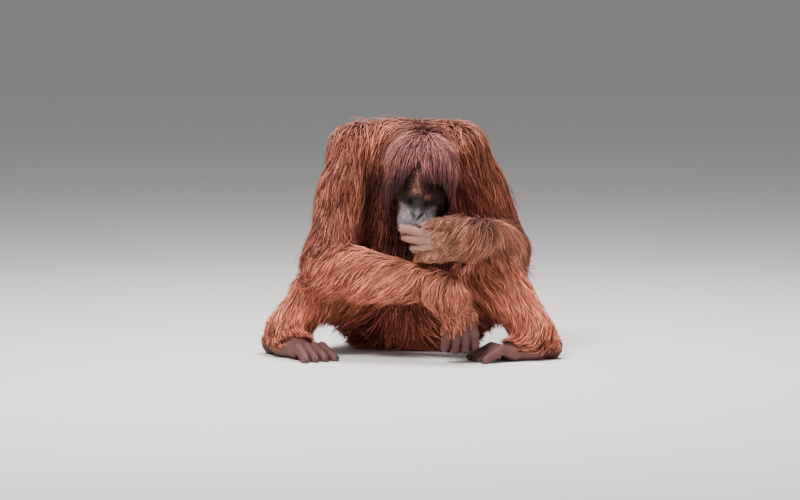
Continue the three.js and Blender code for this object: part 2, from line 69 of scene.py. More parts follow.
def split_name(name):
    """A part's kind and side, such as forearm and left. A part in the middle has no side."""
    kind, _, side = name.rpartition("_")
    return (kind, side) if side in SIDES else (name, "")


def unit(v):
    v = np.asarray(v, dtype=float)
    return v / np.maximum(np.linalg.norm(v, axis=-1, keepdims=True), 1e-9)


def mix(a, b, t):
    return a + (b - a) * t


def smoothstep(x, low, high):
    t = np.clip((x - low) / (high - low), 0, 1)
    return t * t * (3 - 2 * t)


# Signed distances, on arrays of points
def ball(centre, radii, turn=np.eye(3)):
    radii = np.asarray(radii, dtype=float)

    def distance(p):
        q = (p - centre) @ turn
        k0 = np.linalg.norm(q / radii, axis=-1)
        k1 = np.linalg.norm(q / radii**2, axis=-1)
        return k0 * (k0 - 1) / np.maximum(k1, 1e-9)

    return distance


def bone(a, b, ra, rb, side=None, wide=1.0):
    along = b - a
    square = along @ along

    def distance(p):
        q = p - a
        t = np.clip(q @ along / square, 0, 1)
        q = q - t[..., None] * along
        if side is not None:
            q = q - (q @ side)[..., None] * side * (1 - 1 / wide)
        return np.linalg.norm(q, axis=-1) - mix(ra, rb, t)

    return distance


def soft_min(a, b, soft):
    h = np.maximum(soft - np.abs(a - b), 0) / soft
    return np.minimum(a, b) - h * h * soft / 4


def blend(shapes, soft):
    def distance(p):
        total = shapes[0](p)
        for shape in shapes[1:]:
            total = soft_min(total, shape(p), soft)
        return total

    return distance


# The head's own frame: x to its left, f forward out of the face, u up through the crown
pitch = np.array(Matrix.Rotation(HEAD_PITCH, 3, "X"))
roll = np.array(Matrix.Rotation(HEAD_ROLL, 3, "Y"))
HEAD_TURN = roll @ pitch


def on_head(x, f, u):
    return HEAD_CENTRE + HEAD_TURN @ V(x, -f, u)


def into_head(p):
    q = (p - HEAD_CENTRE) @ HEAD_TURN
    return q[..., 0], -q[..., 1], q[..., 2]


def head_ball(x, f, u, radii):
    return ball(on_head(x, f, u), radii, HEAD_TURN)


def head_bone(a, b, ra, rb):
    return bone(on_head(*a), on_head(*b), ra, rb)


EYE = {"x": 30, "f": 60, "u": -4, "r": 11.0}

head_base = blend(
    [
        head_ball(0, -2, 6, (66, 76, 70)),
        head_bone((-34, 56, 12), (34, 56, 12), 17, 17),
        *(head_ball(x, 40, -20, (22, 26, 26)) for x in (-46, 46)),
        head_ball(0, 58, -36, (44, 34, 42)),
        head_ball(0, 84, -56, (49, 34, 32)),
        head_bone((-24, 99, -60), (24, 99, -60), 19, 19),
        head_bone((-20, 97, -90), (20, 97, -90), 13, 13),
        head_ball(0, 72, -92, (40, 38, 22)),
        *(head_ball(x, 18, -58, (22, 38, 36)) for x in (-46, 46)),
        head_ball(0, 34, -88, (42, 46, 30)),
        head_bone((0, 66, -4), (0, 84, -22), 10, 9),
        *(head_ball(x, 88, -28, (9, 9, 8)) for x in (-10, 10)),
    ],
    16,
)
neck = bone(NECK_ROOT, on_head(0, -40, 12), 66, 62)
torso = blend(
    [
        ball(SEAT, (130, 112, 100)),
        ball(V(0, 66, 215), (130, 116, 132)),
        ball(V(0, 66, 350), (138, 110, 142)),
        ball(V(0, 44, 470), (128, 92, 84)),
        bone(V(-72, 30, 518), V(72, 30, 518), 44, 44),
    ],
    30,
)


def limb_shapes(side):
    shoulder = SHOULDER[side]
    elbow = ELBOW[side]
    bulge = mix(elbow, WRIST[side], 0.3)
    calf = mix(KNEE[side], ANKLE[side], 0.38)
    return {
        "upper_arm": blend(
            [
                ball(shoulder, (54, 54, 56)),
                bone(shoulder, elbow, 47, 39),
                ball(mix(shoulder, elbow, 0.42) + V(SIGN[side] * 3, 0, 0), (44, 48, 66)),
            ],
            20,
        ),
        "forearm": blend([bone(elbow, bulge, 44, 41), bone(bulge, WRIST[side], 41, 27)], 14),
        "thigh": bone(HIP[side], KNEE[side], 84, 48),
        "shin": blend([bone(KNEE[side], calf, 45, 45), bone(calf, ANKLE[side], 45, 31)], 14),
    }


# Hands and feet: each digit is a chain of joints, from its knuckle to its tip
FINGER_RADII = (12, 11, 10, 8.5)
THUMB_RADII = (14, 11, 9)
TOE_RADII = (14, 11.5, 10.5, 9)
BIG_TOE_RADII = (15, 12, 10)
TOE_GAP = 17
TOE_FAN = 0.12
TOE_STEPS = ((36, 31), (30, 17), (20, 7))  # how far each toe joint lies past the last, and its height
FINGERS = (-1.5, -0.5, 0.5, 1.5)
SHORTER = 0.05
HAND = {
    "right": {
        "across": unit(V(1, 0.05, -0.1)),
        "spread": 17.5,
        "open": (V(3, -6, -48), V(-2, 14, -33), V(-2, 20, -6)),
        "curled": (V(3, -6, -48), V(-2, 14, -33), V(-2, 20, -6)),
        "curl": (0, 0, 0, 0),
        "fan": V(0.1, 0, 0.04),
        "thumb": (V(112, -224, 154), V(126, -206, 130), V(128, -194, 112)),
    },
    "left": {
        "across": unit(V(-0.1, 0.1, 0.98)),
        "spread": 14.5,
        "open": (V(-46, -4, 6), V(-36, 10, 7), V(-22, 10, 3)),
        "curled": (V(-38, 2, 0), V(-20, 24, -2), V(2, 23, -2)),
        "curl": (1, 0.75, 0.35, 0),
        "fan": V(0, 0, 0.06),
        "thumb": (V(98, -238, 340), V(60, -248, 343), V(26, -244, 335)),
    },
}
FOOT = {
    "right": {"toes": V(0.5, -0.866, 0), "inner": V(0.866, 0.5, 0), "heel": V(-340, -34, 26)},
    "left": {"toes": V(-0.92, -0.39, 0), "inner": V(-0.39, 0.92, 0), "heel": V(338, -140, 26)},
}


def hand_digits(side):
    hand = HAND[side]
    digits = []
    for i, off in enumerate(FINGERS):
        joints = [KNUCKLES[side] + hand["across"] * off * hand["spread"]]
        for k, (open_step, curled_step) in enumerate(zip(hand["open"], hand["curled"])):
            step = mix(open_step, curled_step, hand["curl"][i]) * (1 - SHORTER * off * off)
            joints.append(joints[k] + step + hand["fan"] * off * np.linalg.norm(step) * (1 - 0.3 * k))
        digits.append((joints, FINGER_RADII))
    digits.append((list(hand["thumb"]), THUMB_RADII))
    return digits


def foot_digits(side):
    foot = FOOT[side]
    front = BALL_OF_FOOT[side]
    digits = []
    for off in FINGERS:
        ahead = foot["toes"] + foot["inner"] * off * TOE_FAN
        joints = [front + foot["inner"] * off * TOE_GAP]
        for far, z in TOE_STEPS:
            joints.append(V(*(joints[-1] + ahead * far)[:2], z))
        digits.append((joints, TOE_RADII))
    instep = mix(foot["heel"], front, 0.42) + foot["inner"] * 26
    middle = instep + foot["inner"] * 24 + foot["toes"] * 22
    big = [instep, middle, middle + foot["toes"] * 24]
    digits.append(([V(p[0], p[1], z) for p, z in zip(big, (26, 20, 9))], BIG_TOE_RADII))
    return digits


def digits_of(kind, side):
    return hand_digits(side) if kind == "hand" else foot_digits(side)


def digit_shape(joints, radii):
    bones = [bone(joints[i], joints[i + 1], radii[i], radii[i + 1]) for i in range(len(joints) - 1)]
    return blend(bones, 4)


def palm_shape(side):
    hand = HAND[side]
    wrist, knuckles = WRIST[side], KNUCKLES[side]
    return blend(
        [
            bone(wrist, mix(wrist, knuckles, 0.45), 24, 24, hand["across"], 1.3),
            bone(mix(wrist, knuckles, 0.45), knuckles, 23, 14, hand["across"], 2.3),
            bone(mix(wrist, knuckles, 0.3), hand["thumb"][0], 22, 14),
        ],
        14,
    )


def sole_shape(side):
    foot = FOOT[side]
    front, heel, ankle = BALL_OF_FOOT[side], foot["heel"], ANKLE[side]
    return blend(
        [
            bone(heel, ankle, 27, 27),
            bone(heel, mix(heel, front, 0.5), 27, 25, foot["inner"], 1.25),
            bone(ankle, front, 27, 19),
            bone(mix(heel, front, 0.5), front, 24, 17, foot["inner"], 1.9),
        ],
        14,
    )


def extremity(palm, digits):
    """A palm or sole with its digits. A digit joins the palm softly, and other digits hardly at all."""

    def distance(p):
        base = palm(p)
        total = base
        for joints, radii in digits:
            total = np.minimum(total, soft_min(base, digit_shape(joints, radii)(p), 7))
        return total

    return distance


PARTS = {"head": head_base, "neck": neck, "torso": torso}
for side in SIDES:
    for name, shape in limb_shapes(side).items():
        PARTS[f"{name}_{side}"] = shape
    for kind, middle in (("hand", palm_shape(side)), ("foot", sole_shape(side))):
        PARTS[f"{kind}_{side}"] = extremity(middle, digits_of(kind, side))

# How softly each part melts into the next
JOIN = {"neck": 40, "head": 24, "middle": 22, "end": 16, "root": 34}


def joined(distances):
    """The whole skin from the parts' distances. Limbs melt into the trunk, and only press on each other."""
    trunk = soft_min(distances["torso"], distances["neck"], JOIN["neck"])
    trunk = soft_min(trunk, distances["head"], JOIN["head"])
    total = trunk
    for side in SIDES:
        near, middle, end = (distances[f"{kind}_{side}"] for kind in ("upper_arm", "forearm", "hand"))
        arm = soft_min(soft_min(near, middle, JOIN["middle"]), end, JOIN["end"])
        upper = soft_min(trunk, near, JOIN["root"])
        near, middle, end = (distances[f"{kind}_{side}"] for kind in ("thigh", "shin", "foot"))
        leg = soft_min(soft_min(near, middle, JOIN["middle"]), end, JOIN["end"])
        lower = soft_min(trunk, near, JOIN["root"])
        for piece in (arm, leg, upper, lower):
            total = np.minimum(total, piece)
    return total


# Boxes that the parts' distances are worked out in: the bounds of a few balls, with room for the joins
FAR = 90.0
ROOM = 50.0
FACE_MIDDLE = on_head(0, 30, -20)
TRUNK_BALLS = {
    "head": [(FACE_MIDDLE, 100)],
    "neck": [(NECK_ROOT, 66), (HEAD_CENTRE, 60)],
    "torso": [(V(0, 80, 140), 140), (V(0, 80, 426), 140)],
}
LIMB_BALLS = {
    "upper_arm": ((SHOULDER, 62), (ELBOW, 45)),
    "forearm": ((ELBOW, 46), (WRIST, 30)),
    "thigh": ((HIP, 86), (KNEE, 50)),
    "shin": ((KNEE, 48), (ANKLE, 34)),
}


def part_balls(name):
    kind, side = split_name(name)
    if kind in TRUNK_BALLS:
        return TRUNK_BALLS[kind]
    if kind in LIMB_BALLS:
        return [(joint[side], reach) for joint, reach in LIMB_BALLS[kind]]
    joints = [(joint, 20) for chain, _ in digits_of(kind, side) for joint in chain]
    if kind == "hand":
        return joints + [(WRIST[side], 36)]
    return joints + [(ANKLE[side] - 40, 0), (FOOT[side]["heel"], 34)]


def part_box(name):
    balls = part_balls(name)
    low = np.min([centre - reach for centre, reach in balls], axis=0)
    high = np.max([centre + reach for centre, reach in balls], axis=0)
    return low - ROOM, high + ROOM


BOXES = {name: part_box(name) for name in PARTS}


def all_distances(p):
    """Each part's distance at points, and FAR for the points that lie well outside the part's box."""
    found = {}
    for name, shape in PARTS.items():
        low, high = BOXES[name]
        inside = np.all((p > low) & (p < high), axis=-1)
        values = np.full(p.shape[:-1], FAR)
        if inside.any():
            values[inside] = shape(p[inside])
        found[name] = values
    return found


# Distance grids: one coarse over the whole body, and fine ones over the head, hands and feet
SLAB = 8  # how many layers of a grid are worked out at once


class Grid:
    """A block of points `step` apart, and a function's values on them, with their slope."""

    def __init__(self, low, high, step, function):
        self.low = np.asarray(low, dtype=float)
        self.step = step
        counts = np.ceil((np.asarray(high) - self.low) / step).astype(int) + 1
        axes = [self.low[i] + step * np.arange(counts[i]) for i in range(3)]
        self.values = np.empty(counts, dtype=np.float32)
        for i in range(0, counts[0], SLAB):
            x, y, z = np.meshgrid(axes[0][i:i + SLAB], axes[1], axes[2], indexing="ij")
            self.values[i:i + SLAB] = function(np.stack([x, y, z], axis=-1))

    def mesh(self, level=0.0):
        """Points and quads of the surface at `level`."""
        volume = openvdb.FloatGrid(100.0)
        volume.copyFromArray(self.values)
        points, quads = volume.convertToQuads(isovalue=level)
        return self.low + points.astype(float) * self.step, quads

    def sample(self, p, values=None):
        values = self.values if values is None else values
        q = (p - self.low) / self.step
        q = np.clip(q, 0, np.array(self.values.shape) - 1.001)
        i = q.astype(int)
        t = q - i
        total = 0
        for corner in range(8):
            off = np.array([corner & 1, (corner >> 1) & 1, corner >> 2])
            weight = np.prod(np.where(off, t, 1 - t), axis=-1)
            at = i + off
            found = values[at[..., 0], at[..., 1], at[..., 2]]
            total = total + (weight[..., None] * found if found.ndim > weight.ndim else weight * found)
        return total

    def field(self, p):
        """The distance and the outward direction at points, in one look-up."""
        if not hasattr(self, "both"):
            slopes = unit(np.stack(np.gradient(self.values), axis=-1))
            self.both = np.concatenate([self.values[..., None], slopes], axis=-1).astype(np.float32)
        found = self.sample(p, self.both)
        return found[..., 0], unit(found[..., 1:])


# The fringe parts over the right of the forehead. FRINGE_U is how far down the long hair comes at FRINGE_X
FRINGE_X = (-76, -62, -48, -34, -18, -6, 1, 6, 36, 52, 68, 84)
FRINGE_U = (-60, 2, 30, 56, 80, 82, 66, 52, 50, 44, 12, -50)
WIDEST_FRINGE = 88


def face_bare(p):
    """1 on the bare face, 0 where the head has hair. A bare patch reaches up the right of the forehead."""
    x, f, u = into_head(p)
    front = smoothstep(f, 26, 46)
    wide = 1 - smoothstep(np.abs(x + 2), 46, 60)
    line = 13 + 44 * np.exp(-(((x + 10) / 12) ** 2))
    low = 1 - smoothstep(u, line - 7, line + 7)
    return front * wide * low


def under_fringe(p):
    """1 where the long hair of the head stays off: the face, and the short fur of the brow above it."""
    x, f, u = into_head(p)
    edge = np.interp(x, FRINGE_X, FRINGE_U)
    return (1 - smoothstep(u, edge - 6, edge + 6)) * smoothstep(f, 0, 30) * (np.abs(x) < WIDEST_FRINGE)


def groove(p, points, radius):
    """Distance to a chain of points, less a radius."""
    return np.min([bone(a, b, radius, radius)(p) for a, b in zip(points, points[1:])], axis=0)


def head_surface(x, u, f=30.0):
    """The place on the head's base shape straight out of the face at x, u."""
    low, high = f, 140.0
    for _ in range(24):
        middle = (low + high) / 2
        if head_base(on_head(x, middle, u)[None])[0] < 0:
            low = middle
        else:
            high = middle
    return on_head(x, low, u)


def wrinkles(x, f, u):
    """How deep the skin is creased across the brow, under the eyes, and from the nose down to the lip."""
    ax = np.abs(x)
    front = smoothstep(f, 25, 45)
    brow = smoothstep(u, 12, 22) * (1 - smoothstep(u, 52, 66)) * np.sin(u * 0.55 + 0.06 * ax) ** 2
    under_eyes = (1 - smoothstep(ax, 30, 50)) * smoothstep(-u, 14, 20) * (1 - smoothstep(-u, 34, 44))
    under_eyes = under_eyes * np.sin(0.9 * (ax * 0.6 - u)) ** 2
    lip = smoothstep(-u, 36, 42) * (1 - smoothstep(-u, 68, 74)) * smoothstep(f, 70, 80)
    lip = lip * np.sin(x * 0.5 + 0.25 * np.sin(u * 0.3)) ** 2
    return front * (1.7 * brow + 0.55 * under_eyes) + lip


def fine_head(p):
    """The head with its lids, nostrils, mouth, folds and wrinkles."""
    d = head_base(p)
    # Eye sockets sink under the brow, and lids lie over each eye
    for s in (-1, 1):
        socket = head_ball(s * EYE["x"], 75, -5, (15, 12, 9))(p)
        d = -soft_min(-d, socket, 9)
        lid = head_ball(s * EYE["x"], EYE["f"], EYE["u"], (14.4, 13.3, 13.3))(p)
        d = soft_min(d, lid, 4)
        brow = head_bone((s * 14, 71, 14), (s * 40, 62, 15), 7.5, 7)(p)
        d = soft_min(d, brow, 10)
        pouch = head_bone((s * 18, 72, -19), (s * 38, 64, -19), 4.0, 4.0)(p)
        d = soft_min(d, pouch, 7)
    d = d + wrinkles(*into_head(p))
    # The nostrils slant in to the middle under a raised rim, and the mouth is a curved line
    for s in (-1, 1):
        rim = head_bone((s * 16, 86, -26), (s * 7, 95, -21), 3.4, 3.2)(p)
        d = soft_min(d, rim, 5)
        nostril = [head_surface(s * 14, -23.5), head_surface(s * 9, -28), head_surface(s * 4, -35)]
        d = -soft_min(-d, groove(p, nostril, 4.6), 3.5)
    lips = [head_surface(k * 40, -75 + 7 * (k * k - 0.5)) for k in np.linspace(-1, 1, 9)]
    d = -soft_min(-d, groove(p, lips, 1.9), 3.5)
    # The slit between the lids
    for s in (-1, 1):
        slit = head_ball(s * EYE["x"], EYE["f"] + 9, EYE["u"] - 4.0, (10.6, 12, 1.5))(p)
        d = -soft_min(-d, slit, 1.2)
    return d


def knuckle_wrinkles(p, digits):
    """Creases over each joint of the fingers and toes."""
    total = 0
    for joints, _ in digits:
        along = unit(joints[-1] - joints[0])
        for joint in joints[1:-1]:
            near = np.exp(-((np.linalg.norm(p - joint, axis=-1) / 15) ** 2))
            total = total + 1.3 * near * np.sin(((p - joint) @ along) * 0.9) ** 2
    return total


print("building the skin")
COARSE = 5.0
body_low, body_high = V(-400, -310, -10), V(400, 270, 600)
body = Grid(body_low, body_high, COARSE, lambda p: joined(all_distances(p)))

# The fine skin's grid steps, the boxes that it is made in, and how near the coarse skin it is worked out
FLESH_ROOM = 36
HEAD_ROOM = 128
NEAR_SKIN = 16
CREASE_LIFT = 1.2


def fine_box(kind, side):
    """The box of the fine skin round a hand or foot: its joints and its root, with room for the flesh."""
    ends = {
        "hand": (KNUCKLES[side], WRIST[side]),
        "foot": (BALL_OF_FOOT[side], FOOT[side]["heel"], ANKLE[side]),
    }
    joints = [joint for chain, _ in digits_of(kind, side) for joint in chain]
    spots = np.array([*joints, *ends[kind]])
    return spots.min(0) - FLESH_ROOM, spots.max(0) + FLESH_ROOM


FINE = {"head": (1.25)}
FINE_BOX = {"head": (FACE_MIDDLE - HEAD_ROOM, FACE_MIDDLE + HEAD_ROOM)}
for side in SIDES:
    for kind in ("hand", "foot"):
        FINE[f"{kind}_{side}"] = 1.7
        FINE_BOX[f"{kind}_{side}"] = fine_box(kind, side)


def fine_grid(name):
    low, high = FINE_BOX[name]
    kind, side = split_name(name)

    def function(p):
        coarse = body.sample(p)
        found = np.where(coarse > 0, 30.0, -30.0)
        near = np.abs(coarse) < NEAR_SKIN
        q = p[near]
        if len(q) == 0:
            return found
        distances = all_distances(q)
        if kind == "head":
            distances[name] = fine_head(q)
        else:
            creases = knuckle_wrinkles(q, digits_of(kind, side))
            distances[name] = distances[name] + creases - CREASE_LIFT
        found[near] = joined(distances)
        return found

    return Grid(low, high, FINE[name], function)


def inside_fine(p, name, margin=0.0):
    """Whether points belong to the fine skin of a part rather than to the coarse one."""
    if name == "head":
        q = (p - on_head(0, -20, 10)) @ unit(on_head(0, 40, -60) - on_head(0, -20, 10))
        low, high = FINE_BOX[name]
        inside = np.all((p > low + 6) & (p < high - 6), axis=-1)
        return inside & (q > -margin) & (head_base(p) < 14 + margin)
    kind, side = split_name(name)
    if kind == "hand":
        axis = unit(KNUCKLES[side] - WRIST[side])
        return ((p - WRIST[side]) @ axis > -margin) & (PARTS[name](p) < 8 + margin)
    rise = (p - ANKLE[side]) @ UP
    return (rise < margin - 4) & (PARTS[name](p) < 8 + margin)


def split_skin():
    """Points, quads of the whole skin: coarse on the limbs and trunk, fine on the head, hands and feet."""
    points, quads = body.mesh()
    middles = points[quads].mean(axis=1)
    keep = np.ones(len(quads), dtype=bool)
    for name in FINE:
        keep &= ~inside_fine(middles, name)
    all_points, all_quads = [points], [quads[keep]]
    total = len(points)
    for name in FINE:
        p, q = fine_grid(name).mesh()
        q = q[inside_fine(p[q].mean(axis=1), name, margin=5.0)]
        all_points.append(p)
        all_quads.append(q + total)
        total += len(p)
    points = np.concatenate(all_points)
    quads = np.concatenate(all_quads)
    used, index = np.unique(quads.ravel(), return_inverse=True)
    return points[used], index.reshape(-1, 4)


skin_points, skin_quads = split_skin()
skin_points[:, 2] = np.maximum(skin_points[:, 2], 0.2)
print("skin", len(skin_points), "points", len(skin_quads), "quads")

# An unwrap of the skin: each part is a chart, its angle round its axis against its length
CHART_COLUMNS, CHART_ROWS = 5, 4
CHART_AXIS = {
    "head": (on_head(0, -60, 30), on_head(0, 90, -80), V(1, 0, 0)),
    "neck": (NECK_ROOT, on_head(0, -40, 12), V(1, 0, 0)),
    "torso": (V(0, 100, 0), V(0, 30, 600), V(1, 0, 0)),
}
for side in SIDES:
    CHART_AXIS[f"upper_arm_{side}"] = (SHOULDER[side], ELBOW[side], V(0, -1, 0))
    CHART_AXIS[f"forearm_{side}"] = (ELBOW[side], WRIST[side], V(0, 0, 1))
    CHART_AXIS[f"thigh_{side}"] = (HIP[side], KNEE[side], V(0, 0, 1))
    CHART_AXIS[f"shin_{side}"] = (KNEE[side], ANKLE[side], V(0, -1, 0))
    CHART_AXIS[f"hand_{side}"] = (WRIST[side], KNUCKLES[side] * 2 - WRIST[side], V(0, -1, 0))
    toes_end = BALL_OF_FOOT[side] * 1.5 - FOOT[side]["heel"] * 0.5
    CHART_AXIS[f"foot_{side}"] = (FOOT[side]["heel"], toes_end, UP)


def nearest_part(p):
    distances = all_distances(p)
    names = list(distances)
    return np.argmin(np.stack([distances[n] for n in names]), axis=0), names, distances


def unwrap(p, part, names, turn_from=None):
    """Chart coordinates of points, whose parts are given. turn_from is an angle to stay near, for a face."""
    uv = np.zeros((len(p), 2))
    angle = np.zeros(len(p))
    for k, name in enumerate(names):
        rows = part == k
        if not rows.any():
            continue
        a, b, side = CHART_AXIS[name]
        axis = unit(b - a)
        length = np.linalg.norm(b - a)
        first = unit(side - axis * (side @ axis))
        second = np.cross(axis, first)
        q = p[rows] - a
        turn = np.arctan2(q @ second, q @ first)
        if turn_from is not None:
            turn = turn_from[rows] + (turn - turn_from[rows] + np.pi) % (2 * np.pi) - np.pi
        angle[rows] = turn
        cell = np.array([k % CHART_COLUMNS, k // CHART_COLUMNS])
        across = 0.08 + 0.84 * (turn / (2 * np.pi) + 0.5)
        along = 0.1 + 0.8 * np.clip((q @ axis) / length * 0.7 + 0.15, 0, 1)
        uv[rows] = (np.stack([across, along], axis=-1) + cell) / np.array([CHART_COLUMNS, CHART_ROWS])
    return uv, angle


def new_mesh(name, points, faces, smooth=True):
    """A mesh object from millimetre points and a face array."""
    mesh = bpy.data.meshes.new(name)
    count = faces.shape[1]
    mesh.vertices.add(len(points))
    mesh.vertices.foreach_set("co", to_frame(points).astype(np.float32).ravel())
    mesh.loops.add(faces.size)
    mesh.loops.foreach_set("vertex_index", faces.astype(np.int32).ravel())
    mesh.polygons.add(len(faces))
    mesh.polygons.foreach_set("loop_start", np.arange(0, faces.size, count, dtype=np.int32))
    mesh.polygons.foreach_set("use_smooth", np.full(len(faces), smooth))
    mesh.update(calc_edges=True)
    mesh.validate()
    piece = bpy.data.objects.new(name, mesh)
    bpy.context.scene.collection.objects.link(piece)
    return piece


def paint(piece, colours, name="tone"):
    """A colour for each point."""
    layer = piece.data.color_attributes.new(name, "FLOAT_COLOR", "POINT")
    data = np.concatenate([colours, np.ones((len(colours), 1))], axis=1).astype(np.float32)
    layer.data.foreach_set("color", data.ravel())


# Materials
def rgb(red, green, blue):
    """A colour seen on the screen, from 0 to 255, as the light that it stands for."""
    c = np.array([red, green, blue]) / 255
    return np.where(c <= 0.04045, c / 12.92, ((c + 0.055) / 1.055) ** 2.4)


def add_node(made, kind, inputs=None, **settings):
    """A new node of a material, with its settings and the values of its inputs."""
    node = made.node_tree.nodes.new("ShaderNode" + kind)
    for key, value in settings.items():
        setattr(node, key, value)
    for key, value in (inputs or {}).items():
        node.inputs[key].default_value = value
    return node


def shader_of(made):
    return made.node_tree.nodes["Principled BSDF"]


def material(name, roughness, specular=0.5, tone=True, colour=(0.5, 0.5, 0.5)):
    """A material of one colour, or of the colours that its piece is painted with."""
    made = bpy.data.materials.new(name)
    made.use_nodes = True
    shader = shader_of(made)
    shader.inputs["Roughness"].default_value = roughness
    shader.inputs["Specular IOR Level"].default_value = specular
    shader.inputs["Base Color"].default_value = (*colour, 1)
    if tone:
        painted = add_node(made, "VertexColor", layer_name="tone")
        made.node_tree.links.new(painted.outputs["Color"], shader.inputs["Base Color"])
    return made


def add_bump(made, scale, strength, distance):
    """Pores and fine lines over the whole surface."""
    place = add_node(made, "TexCoord")
    noise = add_node(made, "TexNoise", {"Scale": scale, "Detail": 6})
    bump = add_node(made, "Bump", {"Strength": strength, "Distance": distance})
    link = made.node_tree.links.new
    link(place.outputs["Object"], noise.inputs["Vector"])
    link(noise.outputs["Fac"], bump.inputs["Height"])
    link(bump.outputs["Normal"], shader_of(made).inputs["Normal"])


HAIR_DARK = rgb(50, 20, 17)
HAIR_MID = rgb(134, 62, 48)
HAIR_LIGHT = rgb(216, 132, 106)
# The crown's colour: the head hair's own mauve-brown, paled and greyed with painted sheen
HAIR_CROWN_WITH_SHEEN = rgb(112, 72, 78)
HAIR_SHADE = rgb(22, 10, 9)
HAIR_TAN = rgb(146, 104, 86)
FACE_GREY = rgb(120, 113, 117)
# FACE_DARK is the ears' dark skin, and painted shade at the eyes, the face's sides and the nostrils
FACE_DARK = rgb(27, 17, 15)
FACE_TAN = rgb(140, 92, 68)
FACE_PATCH = rgb(140, 88, 62)
LIP = rgb(170, 112, 90)
FINGER_PALE = rgb(158, 116, 98)
FINGER_DARK = rgb(94, 62, 58)

skin_material = material("skin", 0.6, 0.22)
add_bump(skin_material, 420, 0.5, 0.0006)


def hair_strands(made):
    """Fine strands along each tuft, from the tuft's own map: paler and darker streaks, and a bump."""
    place = add_node(made, "UVMap", uv_map="strand")
    stretch = add_node(made, "Mapping", {"Scale": (5.0, 0.9, 1.0)})
    noise = add_node(made, "TexNoise", {"Scale": 1.6, "Detail": 3})
    streak = add_node(made, "MapRange", {"From Min": 0.3, "From Max": 0.7, "To Min": 0.45, "To Max": 1.5})
    painted = add_node(made, "VertexColor", layer_name="tone")
    streaked = add_node(made, "VectorMath", operation="SCALE")
    bump = add_node(made, "Bump", {"Strength": 0.6, "Distance": 0.0006})
    link = made.node_tree.links.new
    link(place.outputs["UV"], stretch.inputs["Vector"])
    link(stretch.outputs["Vector"], noise.inputs["Vector"])
    link(noise.outputs["Fac"], streak.inputs["Value"])
    link(painted.outputs["Color"], streaked.inputs[0])
    link(streak.outputs["Result"], streaked.inputs["Scale"])
    link(streaked.outputs["Vector"], shader_of(made).inputs["Base Color"])
    link(noise.outputs["Fac"], bump.inputs["Height"])
    link(bump.outputs["Normal"], shader_of(made).inputs["Normal"])


hair_material = material("hair", 0.46, 0.2, tone=False)
hair_strands(hair_material)
eye_material = material("eye", 0.08, 0.6, tone=False, colour=rgb(38, 20, 12))
nail_material = material("nail", 0.35, 0.5, tone=False, colour=rgb(38, 28, 26))


def blend_colours(base, other, amount):
    return base + (other - base) * np.asarray(amount)[..., None]


def face_colours(x, f, u):
    """The bare face: a grey muzzle with tan mottles, a tan patch over the eyes, painted shade in a dark band
    at the eyes and brow, at the face's sides and in the nostrils, and a painted highlight on the nose
    bridge.
    """
    ax = np.abs(x)
    mottle = 0.5 + 0.5 * np.sin(x * 0.31 + 1.7) * np.sin(u * 0.27 + x * 0.13) * np.sin(f * 0.23)
    speckle = np.sin(x * 0.9 + 2.1 * np.sin(u * 0.37)) * np.sin(u * 0.8 + 1.7 * np.sin(x * 0.41))
    face = np.tile(FACE_GREY, (len(x), 1)) * (1 + 0.6 * speckle)[:, None]
    tan = 0.5 * mottle * smoothstep(ax, 14, 42) + 0.35 * smoothstep(-u, 50, 76)
    face = blend_colours(face, FACE_TAN, tan)
    patch = np.exp(-(((x + 10) / 14) ** 2)) * smoothstep(u, 14, 26)
    # Painted shade: the eyes and the brow under the fringe are dark, but for the patch
    face = blend_colours(face, FACE_DARK, 0.94 * smoothstep(u, -25, -13) * (1 - patch))
    face = blend_colours(face, FACE_PATCH, 0.9 * patch)
    # Painted shade at the face's sides, where the hair hangs beside them
    face = blend_colours(face, FACE_DARK, smoothstep(ax, 38, 52))
    face = blend_colours(face, LIP, 0.85 * smoothstep(-u, 76, 82) * smoothstep(f, 60, 80))
    # Painted shade in the nostrils
    nostril = np.exp(-(((ax - 9 + (u + 29) * -0.75) / 4.5) ** 2) - (((u + 29) / 7) ** 2))
    face = blend_colours(face, FACE_DARK * 0.3, 0.95 * nostril * smoothstep(f, 70, 82))
    # Painted highlight on the nose bridge
    bridge_highlight = np.exp(-((x / 5) ** 2) - (((u + 20) / 7) ** 2))
    return blend_colours(face, FACE_GREY * 1.5, 0.6 * bridge_highlight)


def skin_colours(p):
    distances = all_distances(p)
    colour = np.tile(HAIR_MID * 0.3, (len(p), 1))
    bare = face_bare(p) * (distances["head"] < 12)
    colour = blend_colours(colour, face_colours(*into_head(p)), bare)
    for side in SIDES:
        fingers = FINGER_PALE if side == "left" else FINGER_DARK
        bare_ends = {
            "hand": (fingers, WRIST[side], unit(KNUCKLES[side] - WRIST[side]), 40, 95),
            "foot": (FINGER_DARK * 1.25, ANKLE[side], FOOT[side]["toes"], -30, 40),
        }
        for kind, (tone, root, ahead, start, end) in bare_ends.items():
            near = 1 - smoothstep(distances[f"{kind}_{side}"], 0, 10)
            reach = smoothstep((p - root) @ ahead, start, end)
            # Darker along the creases over the joints of the fingers and toes
            darker_in_creases = 1 - 0.42 * np.clip(knuckle_wrinkles(p, digits_of(kind, side)), 0, 1)
            colour = blend_colours(colour, tone * darker_in_creases[:, None], near * reach)
    return colour


skin = new_mesh("skin", skin_points, skin_quads)
paint(skin, skin_colours(skin_points))
skin.data.materials.append(skin_material)
middles = skin_points[skin_quads].mean(axis=1)
face_part, part_names, _ = nearest_part(middles)
_, face_angle = unwrap(middles, face_part, part_names)
corner_uv, _ = unwrap(
    skin_points[skin_quads.ravel()], np.repeat(face_part, 4), part_names, np.repeat(face_angle, 4)
)
skin_uv = skin.data.uv_layers.new(name="OFBake")
skin_uv.data.foreach_set("uv", np.clip(corner_uv, 0, 1).astype(np.float32).ravel())


